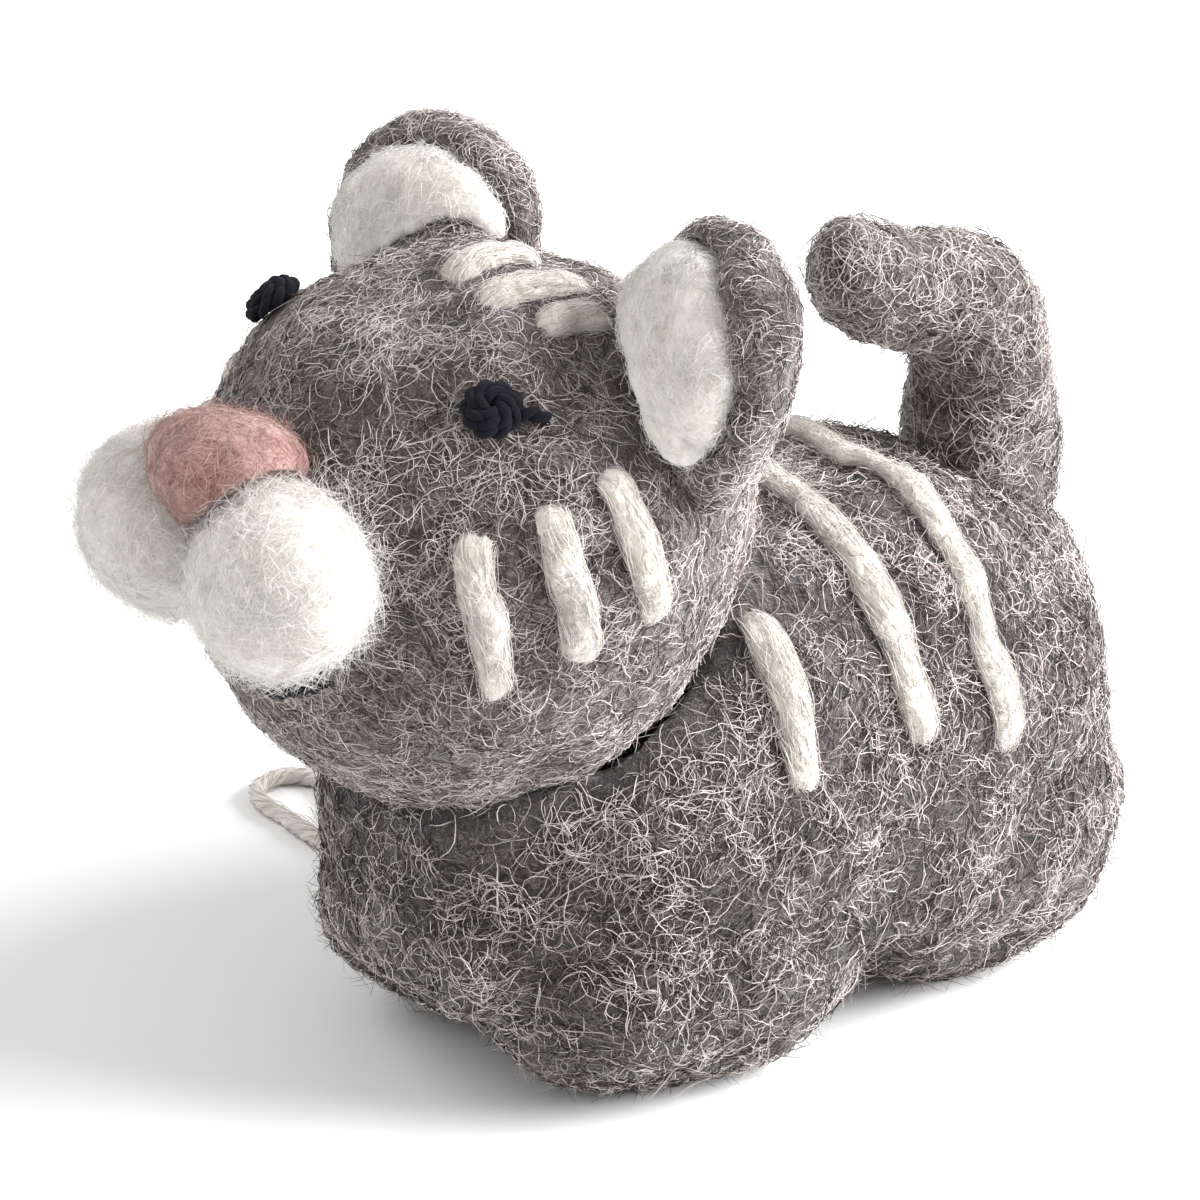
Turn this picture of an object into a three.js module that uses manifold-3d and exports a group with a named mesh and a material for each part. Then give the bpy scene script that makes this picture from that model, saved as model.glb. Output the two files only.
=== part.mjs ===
// A small cat of felted wool, crouching on four stubby legs, with a hooked tail and a yarn hanging loop.
// Millimetres, +Z up. The cat faces -Y and its left side is +X. The table is at z = 0, and the origin is
// under the middle of the whole cat, from its muzzle to its rump.

import * as THREE from 'three';
import { mergeVertices } from 'three/addons/utils/BufferGeometryUtils.js';
import Module from 'manifold-3d';

const wasm = await Module();
wasm.setup();

// ---------- driving dimensions ----------

const gap = 0.3; // left between any two pieces that touch

const bodyLength = 55.6;
const bodyWidth = 33.4;
const backHeight = 33.6; // top of the back above the table
const girthHeight = 14.4; // height at which the body is widest
const bellyHeight = 8; // underside of the body between the legs
const bodySquareness = 2.25; // 2 is an ellipsoid, more is boxier

const legInset = 0.3; // outer side of each leg inside the flank
const legHeight = 17.4; // top of each leg, which is sunk into the body
const legRoundness = 9.1; // upright radius of a leg, most of which is above the table
const frontLegInset = 3.8; // front of the front legs behind the chest
const hindLegInset = 2.4; // back of the hind legs ahead of the rump
const legCreaseStation = 1.7; // where front and hind legs press together, rearwards of the body centre
const legPressed = 2.3; // felt that the front and hind legs press flat against each other
const legPressedInside = 3; // and that the left and right legs do
const creaseWidth = 0.8; // between neighbouring legs

const headDiameter = 34.4;
const headInset = 8.1; // head centre behind the chest
const headRise = 2.4; // head centre above the back
const headClearance = 0.5; // between the head ball and its dish in the body

const wadThickness = 2.2;
const wadSpread = 36; // degrees from the neck axis to the edge of the wad
const neckLean = 31; // degrees that the neck axis leans forward from upright

const puffWidth = 12.2;
const puffDepth = 10.4;
const puffHeight = 12;
const puffSpacing = 9.8; // between the middles of the two puffs
const puffRaise = 4; // above the head centre
const muzzleReach = 1.4; // puff middles ahead of the front of the head ball

const noseWidth = 9.6;
const noseDepth = 8.4;
const noseHeight = 7.2;
const noseRaise = 8.8;

const eyeWidth = 3.5;
const eyeDepth = 2.6;
const eyeSide = 34.5; // degrees from the middle of the face
const eyeRaise = 62; // degrees up from straight ahead

const earWidth = 14.6;
const earThickness = 7.6;
const earHeight = { left: 17.4, right: 14.8 };
const earOutward = 1.8; // middle of each ear beyond its root
const earBackward = { left: 0.4, right: 2.8 };
const earUpward = { left: 3.9, right: 2.1 };
const earRoll = 17; // degrees that each ear's cup turns towards the other
const earLean = { left: 10, right: 18 }; // degrees that each ear leans back
const earRootLength = 12;
const earRootThickness = 6;
const earClearance = 1.3; // between the free edge of an ear and the head
const earRootDirection = new THREE.Vector3(0.73, 0.35, 0.59).normalize(); // left one, from the head centre
const innerEarWidth = 12.4;
const innerEarThickness = 6;
const earRim = 1.9; // grey felt above and below the inner ear

const stripeThickness = 1.7;
const cheekStripeLength = 8.6;
const cheekStripeTurn = 50.5; // degrees from the middle of the face to the top of the first one
const cheekStripeSpacing = 16.2; // degrees from one to the next
const cheekStripeSlant = 5.5; // degrees that each leans back on its way down
const cheekStripeRaise = 21; // degrees from straight ahead up to the top of the first one
const cheekStripeClimb = 4.6; // degrees that the next one starts higher
const crownStripeLengths = [6.9, 7.4, 4.4];
const crownStripeStarts = [-2.4, -2.2, 0]; // behind the head centre
const crownStripePlaces = [1.1, 4.7, 8]; // to the left of the middle of the head
const firstStripeInset = 4.9; // ahead of the edge of the neck at the spine
const secondStripeOffset = 2.7; // behind the loop knot
const thirdStripeShare = 0.35; // of the way from the second stripe to the tail
const backStripeReach = [72, 72, 79]; // degrees down each flank from the spine

const threadThickness = 0.8;
const mouthWidth = 6.2; // from the middle of the face to each end
const mouthDrop = 2.1; // middle of the mouth below the puffs
const mouthStart = 0.1; // share of the half mouth, so that the two halves do not meet

const tailRootThickness = 9.2;
const tailTipThickness = 6;
const tailInset = 5.9; // tail root ahead of the rump
const tailRise = 6.4;
const tailBendRadius = 8.9;
const tailBendAngle = 65; // degrees
const tailTipLength = 9.6;
const tailTaperLength = 14; // at the tip end, over which the tail narrows
const tailSwayAngle = 15; // degrees each way
const tailSwaySlack = 3; // degrees more that the socket leaves

const yarnThickness = 1;
const knotWidth = 2.6;
const knotOffset = 1.5; // behind the edge of the neck at the spine

// ---------- worked out from them ----------

const headRadius = headDiameter / 2;
const bodyRadii = new THREE.Vector3(bodyWidth / 2, bodyLength / 2, backHeight - girthHeight);

// Stations are measured rearwards from the body centre.
const headStation = headInset - bodyLength / 2;
const frontReach = headRadius + muzzleReach + puffDepth / 2 - headStation;
const bodyY = (frontReach - bodyLength / 2) / 2; // puts the origin under the middle of the cat
const headPlace = new THREE.Vector3(0, headStation, backHeight + headRise); // from under the body centre
const neckEdgeStation = headStation + Math.sqrt((headRadius + headClearance) ** 2 - headRise ** 2);
const tailStation = bodyLength / 2 - tailInset;
const knotStation = neckEdgeStation + knotOffset;
const secondStripeStation = knotStation + secondStripeOffset;
const backStripeStations = [
  neckEdgeStation - firstStripeInset,
  secondStripeStation,
  secondStripeStation + thirdStripeShare * (tailStation - secondStripeStation),
];

// ---------- making and cutting solids ----------

const radians = THREE.MathUtils.degToRad;

function toSolid(geometry) {
  const bare = geometry.index ? geometry.clone() : geometry;
  bare.deleteAttribute('normal');
  bare.deleteAttribute('uv');
  const merged = mergeVertices(bare, 1e-4);
  return new wasm.Manifold(new wasm.Mesh({
    numProp: 3,
    vertProperties: new Float32Array(merged.attributes.position.array),
    triVerts: new Uint32Array(merged.index.array),
  }));
}

function toGeometry(solid) {
  const mesh = solid.getMesh();
  const geometry = new THREE.BufferGeometry();
  geometry.setAttribute('position', new THREE.BufferAttribute(new Float32Array(mesh.vertProperties), 3));
  geometry.setIndex(new THREE.BufferAttribute(new Uint32Array(mesh.triVerts), 1));
  geometry.computeVertexNormals();
  return geometry;
}

// An egg-shaped ball of felt, with its poles along Y.
function ball(radiusX, radiusY, radiusZ, around = 16, along = 10) {
  return new THREE.SphereGeometry(1, around, along).scale(radiusX, radiusY, radiusZ);
}

// The loaf shape of the body, grown by extra all round.
function loaf(extra) {
  const shape = ball(1, 1, 1, 32, 20);
  const place = shape.attributes.position;
  const point = new THREE.Vector3();
  for (let i = 0; i < place.count; i += 1) {
    point.fromBufferAttribute(place, i);
    const sum = ['x', 'y', 'z'].reduce((total, axis) => total + Math.abs(point[axis]) ** bodySquareness, 0);
    point.multiplyScalar(sum ** (-1 / bodySquareness));
    place.setXYZ(i, point.x, point.y, point.z);
  }
  shape.scale(bodyRadii.x + extra, bodyRadii.y + extra, bodyRadii.z + extra);
  return toSolid(shape.translate(0, 0, girthHeight));
}

function headBall(extra) {
  const radius = headRadius + extra;
  return toSolid(ball(radius, radius, radius, 28, 18));
}

// A block that fills one side of the plane axis = edge and is large enough for any piece.
function halfSpace(axis, edge, side) {
  const size = 300;
  const block = new THREE.BoxGeometry(size, size, size);
  const offset = new THREE.Vector3();
  offset[axis] = edge + side * size / 2;
  return toSolid(block.translate(offset.x, offset.y, offset.z));
}

function strand(points, thickness, sides, steps) {
  const section = new THREE.Shape();
  for (let i = 0; i < sides; i += 1) {
    const angle = 2 * Math.PI * i / sides;
    const x = Math.cos(angle) * thickness / 2;
    const y = Math.sin(angle) * thickness / 2;
    if (i === 0) section.moveTo(x, y);
    else section.lineTo(x, y);
  }
  const path = new THREE.CatmullRomCurve3(points, false, 'centripetal');
  return new THREE.ExtrudeGeometry(section, { steps, extrudePath: path, bevelEnabled: false });
}

// ---------- places on the body and on the head ----------

// A point over the body's surface: station rearwards of its centre, angle from the spine towards +X.
function onBody(station, angle, height) {
  const power = 2 / bodySquareness;
  const share = (1 - Math.abs(station / bodyRadii.y) ** bodySquareness) ** (1 / bodySquareness);
  const point = new THREE.Vector3(
    bodyRadii.x * share * Math.sign(angle) * Math.abs(Math.sin(angle)) ** power,
    station,
    bodyRadii.z * share * Math.abs(Math.cos(angle)) ** power,
  );
  const slope = (axis) => (
    Math.sign(point[axis]) * Math.abs(point[axis] / bodyRadii[axis]) ** (bodySquareness - 1) / bodyRadii[axis]
  );
  const normal = new THREE.Vector3(slope('x'), slope('y'), slope('z')).normalize();
  point.addScaledVector(normal, height);
  point.z += girthHeight;
  return point;
}

// A point over the head ball: turn is degrees from straight ahead towards +X, raise is degrees upwards.
function onHead(turn, raise, height) {
  const flat = Math.cos(radians(raise));
  return new THREE.Vector3(
    Math.sin(radians(turn)) * flat,
    -Math.cos(radians(turn)) * flat,
    Math.sin(radians(raise)),
  ).multiplyScalar(headRadius + height);
}

// ---------- felt colours ----------

function felt(color, roughness = 0.95) {
  return new THREE.MeshStandardMaterial({ color, roughness, metalness: 0 });
}

const greyWool = '#7b7472';
const whiteWool = '#e2ddd8';
const pinkWool = '#b98c88';
const creamYarn = '#d9d2ca';
const navyThread = '#1d2136';

function piece(name, geometry, color, place = new THREE.Vector3()) {
  const mesh = new THREE.Mesh(geometry, felt(color));
  mesh.name = name;
  mesh.position.copy(place);
  return mesh;
}

// ---------- body and legs ----------

// The part of the neck wad, or of its recess, that lies below the head: a thick curved disc.
function neckDisc(extra) {
  const inner = headRadius + (extra > 0 ? 0 : gap);
  const outer = headRadius + gap + wadThickness + extra;
  const spread = radians(wadSpread) + extra / headRadius;
  const steps = 6;
  const profile = [];
  for (let i = 0; i <= steps; i += 1) {
    const angle = spread * i / steps;
    profile.push(new THREE.Vector2(outer * Math.sin(angle), -outer * Math.cos(angle)));
  }
  for (let i = steps; i >= 0; i -= 1) {
    const angle = spread * i / steps;
    profile.push(new THREE.Vector2(inner * Math.sin(angle), -inner * Math.cos(angle)));
  }
  profile[0].x = 0;
  profile[profile.length - 1].x = 0;
  return toSolid(new THREE.LatheGeometry(profile, 24).rotateX(radians(90 + neckLean)));
}

// One leg before it is pressed against its neighbours and the table.
function legLobe(side, front, extra) {
  const forward = front ? -1 : 1;
  const end = forward * bodyLength / 2 - forward * (front ? frontLegInset : hindLegInset);
  const pressedEnd = legCreaseStation - forward * legPressed;
  const outside = bodyWidth / 2 - legInset;
  const width = outside + legPressedInside;
  const shape = ball(width / 2 + extra, Math.abs(end - pressedEnd) / 2 + extra, legRoundness + extra);
  return toSolid(shape.translate(
    side * (outside - width / 2),
    (end + pressedEnd) / 2,
    legHeight - legRoundness,
  ));
}

function legSolid(side, front) {
  const forward = front ? -1 : 1;
  return legLobe(side, front, 0)
    .intersect(halfSpace('z', 0, 1))
    .intersect(halfSpace('x', side * creaseWidth / 2, side))
    .intersect(halfSpace('y', legCreaseStation + forward * creaseWidth / 2, forward))
    .subtract(neckHollow());
}

// The room that the body and legs leave for the head ball and the neck wad.
function neckHollow() {
  return headBall(headClearance).add(neckDisc(gap)).translate(headPlace.toArray());
}

function tailRoot() {
  return onBody(tailStation, 0, -gap);
}

// The hole that the tail root sits in: a ball, with a throat that flares as far as the tail sways.
function tailSocket() {
  const radius = tailRootThickness / 2 + gap;
  const depth = tailRootThickness;
  const flare = depth * Math.tan(radians(tailSwayAngle + tailSwaySlack));
  const throat = new THREE.CylinderGeometry(radius + flare, radius, depth, 16).rotateX(Math.PI / 2);
  const root = tailRoot();
  const seat = toSolid(ball(radius, radius, radius));
  return seat.add(toSolid(throat.translate(0, 0, depth / 2))).translate([root.x, root.y, root.z]);
}

function bodySolid() {
  let body = loaf(0).intersect(halfSpace('z', bellyHeight, 1)).subtract(neckHollow()).subtract(tailSocket());
  for (const side of [-1, 1]) {
    for (const front of [true, false]) body = body.subtract(legLobe(side, front, gap));
  }
  return body;
}

function bodyPieces() {
  const pieces = [piece('body', toGeometry(bodySolid()), greyWool)];
  for (const [end, front] of [['front', true], ['hind', false]]) {
    for (const [hand, side] of [['left', 1], ['right', -1]]) {
      pieces.push(piece(`${end}_${hand}_leg`, toGeometry(legSolid(side, front)), greyWool));
    }
  }
  return pieces;
}

// ---------- yarn stripes over the back ----------

// The angle from the spine at which a strand at this station comes clear of the head ball.
function clearOfHead(station) {
  const reach = headRadius + headClearance + stripeThickness;
  const lift = gap + stripeThickness / 2;
  let angle = 0;
  while (onBody(station, angle, lift).distanceTo(headPlace) < reach) angle += radians(1);
  return angle;
}

function backStripe(station, from, to) {
  const lift = gap + stripeThickness / 2;
  const steps = Math.ceil(Math.abs(to - from) / radians(8));
  const points = [];
  for (let i = 0; i <= steps; i += 1) points.push(onBody(station, from + (to - from) * i / steps, lift));
  return strand(points, stripeThickness, 8, steps);
}

// The first stripe runs under the head, so it shows as one strand on each flank.
function backStripePieces() {
  const [first, second, third] = backStripeStations;
  const [firstReach, secondReach, thirdReach] = backStripeReach.map(radians);
  const start = clearOfHead(first);
  return [
    piece('back_stripe_1_left', backStripe(first, start, firstReach), creamYarn),
    piece('back_stripe_1_right', backStripe(first, -start, -firstReach), creamYarn),
    piece('back_stripe_2', backStripe(second, -secondReach, secondReach), creamYarn),
    piece('back_stripe_3', backStripe(third, -thirdReach, thirdReach), creamYarn),
  ];
}

// ---------- tail ----------

// The middle line of the tail in its own plane: up, round a bend towards the head, and straight to the tip.
function tailPoint(distance) {
  const bend = radians(tailBendAngle);
  const bendLength = tailBendRadius * bend;
  if (distance < tailRise) return { y: 0, z: distance, turn: 0 };
  const turn = Math.min(distance - tailRise, bendLength) / tailBendRadius;
  const beyond = Math.max(distance - tailRise - bendLength, 0);
  return {
    y: -tailBendRadius * (1 - Math.cos(turn)) - beyond * Math.sin(turn),
    z: tailRise + tailBendRadius * Math.sin(turn) + beyond * Math.cos(turn),
    turn,
  };
}

function tailGeometry() {
  const root = tailRootThickness / 2;
  const tip = tailTipThickness / 2;
  const length = tailRise + tailBendRadius * radians(tailBendAngle) + tailTipLength;
  const profile = [];
  for (let i = 0; i < 3; i += 1) {
    const angle = Math.PI / 2 * i / 3;
    profile.push(new THREE.Vector2(root * Math.sin(angle), -root * Math.cos(angle)));
  }
  const steps = 11;
  for (let i = 0; i <= steps; i += 1) {
    const distance = (length - tip) * i / steps;
    const narrowing = Math.max(distance - (length - tip - tailTaperLength), 0) / tailTaperLength;
    profile.push(new THREE.Vector2(root + (tip - root) * narrowing, distance));
  }
  for (let i = 1; i <= 3; i += 1) {
    const angle = Math.PI / 2 * i / 3;
    const radius = i === 3 ? 0 : tip * Math.cos(angle);
    profile.push(new THREE.Vector2(radius, length - tip + tip * Math.sin(angle)));
  }
  const shape = new THREE.LatheGeometry(profile, 14).rotateX(Math.PI / 2);
  const place = shape.attributes.position;
  for (let i = 0; i < place.count; i += 1) {
    const middle = tailPoint(place.getZ(i));
    const across = place.getY(i);
    place.setY(i, middle.y + across * Math.cos(middle.turn));
    place.setZ(i, middle.z + across * Math.sin(middle.turn));
  }
  return shape;
}

// ---------- head, muzzle, nose, eyes and mouth ----------

const puffMiddle = new THREE.Vector3(puffSpacing / 2, -(headRadius + muzzleReach), puffRaise);

function puffSolid(side, extra) {
  const shape = ball(puffWidth / 2 + extra, puffDepth / 2 + extra, puffHeight / 2 + extra);
  return toSolid(shape.translate(side * puffMiddle.x, puffMiddle.y, puffMiddle.z));
}

function puffGeometry(side) {
  const own = puffSolid(side, 0).subtract(headBall(gap));
  return toGeometry(own.intersect(halfSpace('x', side * gap / 2, side)));
}

function noseGeometry() {
  const shape = ball(noseWidth / 2, noseDepth / 2, noseHeight / 2, 14, 8);
  const nose = toSolid(shape.translate(0, puffMiddle.y + gap, noseRaise));
  return toGeometry(nose.subtract(headBall(gap)).subtract(puffSolid(1, gap)).subtract(puffSolid(-1, gap)));
}

function eyeDirection(side) {
  const ahead = Math.cos(radians(eyeSide));
  return new THREE.Vector3(
    side * Math.sin(radians(eyeSide)),
    -ahead * Math.cos(radians(eyeRaise)),
    ahead * Math.sin(radians(eyeRaise)),
  );
}

function eyeGeometry(side) {
  const direction = eyeDirection(side);
  const turn = new THREE.Quaternion().setFromUnitVectors(new THREE.Vector3(0, 1, 0), direction);
  const knot = ball(eyeWidth / 2, eyeDepth / 2, eyeWidth / 2, 12, 6).applyQuaternion(turn);
  const place = direction.multiplyScalar(headRadius + gap);
  return toGeometry(toSolid(knot.translate(place.x, place.y, place.z)).subtract(headBall(gap)));
}

// Half of the mouth: a thread along the head ball that starts under the nose and rises to its end.
function mouthGeometry(side) {
  const radius = headRadius + gap + threadThickness / 2;
  const puffBottom = puffRaise - puffHeight / 2;
  const points = [];
  for (let i = 0; i <= 4; i += 1) {
    const share = mouthStart + (1 - mouthStart) * i / 4;
    const x = mouthWidth * share;
    const z = puffBottom - mouthDrop * (1 - share ** 2);
    points.push(new THREE.Vector3(side * x, -Math.sqrt(radius ** 2 - x ** 2 - z ** 2), z));
  }
  return strand(points, threadThickness, 6, 4);
}

function cheekStripe(side, index) {
  const lift = gap + stripeThickness / 2;
  const span = THREE.MathUtils.radToDeg(cheekStripeLength / headRadius);
  const points = [];
  for (let i = 0; i <= 4; i += 1) {
    const turn = cheekStripeTurn + cheekStripeSpacing * index + cheekStripeSlant * i / 4;
    const raise = cheekStripeRaise + cheekStripeClimb * index - span * i / 4;
    points.push(onHead(side * turn, raise, lift));
  }
  return strand(points, stripeThickness, 8, 4);
}

function crownStripe(index) {
  const lift = headRadius + gap + stripeThickness / 2;
  const side = crownStripePlaces[index] / lift;
  const points = [];
  for (let i = 0; i <= 4; i += 1) {
    const along = (crownStripeStarts[index] + crownStripeLengths[index] * i / 4) / lift;
    points.push(new THREE.Vector3(
      Math.sin(side),
      Math.cos(side) * Math.sin(along),
      Math.cos(side) * Math.cos(along),
    ).multiplyScalar(lift));
  }
  return strand(points, stripeThickness, 8, 4);
}

// ---------- ears ----------

// Turns a shape made upright at the origin, and stands it as the ear on one side stands.
function standAsEar(shape, hand, side) {
  const offset = new THREE.Vector3(side * earOutward, earBackward[hand], earUpward[hand]);
  const middle = earRootPlace(side).add(offset);
  shape.rotateX(radians(-earLean[hand])).rotateZ(radians(-earRoll) * side);
  return toSolid(shape.translate(middle.x, middle.y, middle.z));
}

function earRootPlace(side) {
  return earRootDirection.clone().multiply(new THREE.Vector3(side, 1, 1)).multiplyScalar(headRadius);
}

// The line along the head that the ear folds on: it lies in the ear's own plane and along the ball.
function earFoldLine(side) {
  const across = new THREE.Vector3(Math.cos(radians(earRoll)) * side, -Math.sin(radians(earRoll)), 0);
  const outward = earRootPlace(side).normalize();
  const upShare = outward.z;
  const acrossShare = outward.dot(across);
  return across.multiplyScalar(upShare).add(new THREE.Vector3(0, 0, -acrossShare)).normalize();
}

// The rounded root that the ear turns on in its socket.
function earRootSolid(side, extra) {
  const radius = earRootThickness / 2 + extra;
  const turn = new THREE.Quaternion().setFromUnitVectors(new THREE.Vector3(0, 1, 0), earFoldLine(side));
  const place = earRootPlace(side);
  const shape = ball(radius, earRootLength / 2 + extra, radius, 12, 8).applyQuaternion(turn);
  return toSolid(shape.translate(place.x, place.y, place.z));
}

function innerEarSolid(hand, side, extra) {
  const height = earHeight[hand] - 2 * earRim;
  const shape = ball(innerEarWidth / 2 + extra, innerEarThickness / 2 + extra, height / 2 + extra, 14, 8);
  return standAsEar(shape.translate(0, -earThickness / 2 + innerEarThickness / 4, 0), hand, side);
}

function earGeometry(hand, side) {
  const leaf = standAsEar(ball(earWidth / 2, earThickness / 2, earHeight[hand] / 2), hand, side);
  const free = leaf.subtract(headBall(earClearance)).subtract(innerEarSolid(hand, side, gap));
  return toGeometry(free.add(earRootSolid(side, 0)));
}

function innerEarGeometry(hand, side) {
  const pad = innerEarSolid(hand, side, 0);
  return toGeometry(pad.subtract(headBall(earClearance)).subtract(earRootSolid(side, gap)));
}

function headPieces() {
  let head = headBall(0);
  for (const side of [-1, 1]) head = head.subtract(earRootSolid(side, gap));
  const pieces = [
    piece('head', toGeometry(head), greyWool),
    piece('nose', noseGeometry(), pinkWool),
  ];
  for (const [hand, side] of [['left', 1], ['right', -1]]) {
    pieces.push(piece(`${hand}_muzzle_puff`, puffGeometry(side), whiteWool));
    pieces.push(piece(`${hand}_eye`, eyeGeometry(side), navyThread));
    pieces.push(piece(`${hand}_mouth_stitch`, mouthGeometry(side), navyThread));
    pieces.push(piece(`${hand}_ear`, earGeometry(hand, side), greyWool));
    pieces.push(piece(`${hand}_inner_ear`, innerEarGeometry(hand, side), whiteWool));
    for (let index = 0; index < 3; index += 1) {
      pieces.push(piece(`${hand}_cheek_stripe_${index + 1}`, cheekStripe(side, index), creamYarn));
    }
  }
  for (let index = 0; index < 3; index += 1) {
    pieces.push(piece(`crown_stripe_${index + 1}`, crownStripe(index), creamYarn));
  }
  return pieces;
}

// ---------- hanging loop ----------

// The doubled yarn, from the knot on the spine down the right flank and out over the table. Each row is a
// point of its middle line from the body's place on the table, and half the distance between the strands.
const loopRoute = [
  [-2, -0.7, 34.8, 0.8],
  [-6.3, -0.7, 34, 0.8],
  [-10.5, -0.8, 31.9, 0.9],
  [-13.9, -1, 28.6, 1],
  [-16.3, -1.4, 24.2, 1.1],
  [-17.8, -2, 18.8, 1.2],
  [-18.5, -2.9, 13.6, 1.3],
  [-19.1, -4.4, 8.4, 1.4],
  [-20, -6, 4, 1.5],
  [-22.4, -7.3, 1.1, 1.6],
  [-26, -7.9, 0.56, 1.7],
  [-30, -7.5, 0.56, 2.1],
  [-32.8, -7, 0.56, 2.3],
  [-35.1, -6.7, 0.56, 2.5],
  [-37.1, -6.6, 0.56, 1.8],
];
const loopTipReach = 0.8; // end of the loop beyond the last row

function loopPoints() {
  const there = loopRoute.map(([x, y, z, half]) => new THREE.Vector3(x, y - half, z));
  const back = loopRoute.map(([x, y, z, half]) => new THREE.Vector3(x, y + half, z)).reverse();
  const [x, y, z] = loopRoute[loopRoute.length - 1];
  return [...there, new THREE.Vector3(x - loopTipReach, y, z), ...back];
}

function knotGeometry() {
  const place = onBody(knotStation, 0, gap);
  const knot = ball(knotWidth / 2, knotWidth / 2, knotWidth / 3, 10, 6).translate(0, place.y, place.z);
  return toGeometry(toSolid(knot).subtract(loaf(gap)));
}

// ---------- the whole cat ----------

const cat = new THREE.Group();
cat.position.set(0, bodyY, 0);
cat.add(...bodyPieces(), ...backStripePieces());
cat.add(piece('tail', tailGeometry(), greyWool, tailRoot()));
cat.add(piece('loop_knot', knotGeometry(), creamYarn));
cat.add(piece('hanging_loop', strand(loopPoints(), yarnThickness, 8, 64), creamYarn));

const head = new THREE.Group();
head.position.copy(headPlace);
head.add(piece('neck_wad', toGeometry(neckDisc(0)), greyWool), ...headPieces());
cat.add(head);

export default cat;
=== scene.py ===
import math

import bpy
import numpy as np
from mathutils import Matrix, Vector
from mathutils.bvhtree import BVHTree


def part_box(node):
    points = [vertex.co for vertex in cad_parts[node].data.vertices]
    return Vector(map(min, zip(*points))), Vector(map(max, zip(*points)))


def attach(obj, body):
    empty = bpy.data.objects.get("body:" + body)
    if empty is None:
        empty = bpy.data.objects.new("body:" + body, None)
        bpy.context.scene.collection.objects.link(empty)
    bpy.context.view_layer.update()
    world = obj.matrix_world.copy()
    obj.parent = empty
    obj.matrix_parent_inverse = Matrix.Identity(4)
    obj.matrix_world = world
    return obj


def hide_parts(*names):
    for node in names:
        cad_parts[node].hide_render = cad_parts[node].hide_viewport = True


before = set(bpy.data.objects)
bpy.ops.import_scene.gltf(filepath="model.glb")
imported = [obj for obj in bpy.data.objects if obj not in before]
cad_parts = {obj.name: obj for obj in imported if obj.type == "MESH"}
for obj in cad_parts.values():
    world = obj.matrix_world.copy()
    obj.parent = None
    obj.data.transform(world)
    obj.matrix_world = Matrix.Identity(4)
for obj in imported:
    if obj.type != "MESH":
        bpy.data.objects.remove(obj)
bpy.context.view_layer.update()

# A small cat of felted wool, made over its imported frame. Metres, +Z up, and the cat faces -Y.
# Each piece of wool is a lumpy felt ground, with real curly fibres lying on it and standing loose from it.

MM = 0.001


# ---------- camera ----------

CAMERA_AZIMUTH = 50  # degrees round from the front, towards the cat's left side
CAMERA_ELEVATION = 25
CAMERA_DISTANCE = 0.48
CAMERA_LENS = 230.4  # millimetres, on a sensor 36 mm wide
CAMERA_AIM = Vector((-0.0081, 0.0047, 0.0233))


def make_camera():
    around, up = math.radians(CAMERA_AZIMUTH), math.radians(CAMERA_ELEVATION)
    back = Vector((math.sin(around) * math.cos(up), -math.cos(around) * math.cos(up), math.sin(up)))
    data = bpy.data.cameras.new("camera")
    data.lens = CAMERA_LENS
    data.sensor_width = 36
    camera = bpy.data.objects.new("camera", data)
    bpy.context.scene.collection.objects.link(camera)
    camera.location = CAMERA_AIM + back * CAMERA_DISTANCE
    camera.rotation_mode = "QUATERNION"
    camera.rotation_quaternion = (-back).to_track_quat("-Z", "Y")
    bpy.context.scene.camera = camera


make_camera()


# ---------- small helpers ----------

def unit(vectors):
    return vectors / np.maximum(np.linalg.norm(vectors, axis=-1, keepdims=True), 1e-12)


def dot(a, b):
    return (a * b).sum(axis=-1, keepdims=True)


def smooth_noise(points, size, seed, waves=16):
    """A smooth random value at each point, mostly between -1.5 and 1.5, with features about size across."""
    random = np.random.default_rng(seed)
    directions = unit(random.normal(size=(waves, 3)))
    lengths = 2 * size * random.uniform(0.7, 1.5, waves)
    phases = random.uniform(0, 2 * math.pi, waves)
    waves_there = np.sin(points @ (directions * (2 * math.pi / lengths)[:, None]).T + phases)
    return waves_there.sum(axis=1) / math.sqrt(waves / 2)


def new_object(name, mesh):
    thing = bpy.data.objects.new(name, mesh)
    bpy.context.scene.collection.objects.link(thing)
    return thing


def mesh_of(name, vertices, quads, shades=None):
    """A smooth-shaded mesh of quads."""
    mesh = bpy.data.meshes.new(name)
    mesh.vertices.add(len(vertices))
    mesh.vertices.foreach_set("co", vertices.astype(np.float32).ravel())
    mesh.loops.add(quads.size)
    mesh.loops.foreach_set("vertex_index", quads.astype(np.int32).ravel())
    mesh.polygons.add(len(quads))
    mesh.polygons.foreach_set("loop_start", np.arange(0, quads.size, 4, dtype=np.int32))
    mesh.polygons.foreach_set("use_smooth", np.ones(len(quads), bool))
    if shades is not None:
        mesh.polygons.foreach_set("material_index", shades.astype(np.int32))
    mesh.update(calc_edges=True)
    return mesh


def vertex_array(mesh, what="co"):
    values = np.empty(len(mesh.vertices) * 3, np.float32)
    source = mesh.vertices if what == "co" else mesh.vertex_normals
    source.foreach_get("co" if what == "co" else "vector", values)
    return values.reshape(-1, 3).astype(float)


def centre_of(node):
    low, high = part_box(node)
    return np.array((low + high) / 2)


def finish_piece(piece, body, slot, *nodes):
    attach(piece, body)
    if nodes:
        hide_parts(*nodes)


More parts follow.
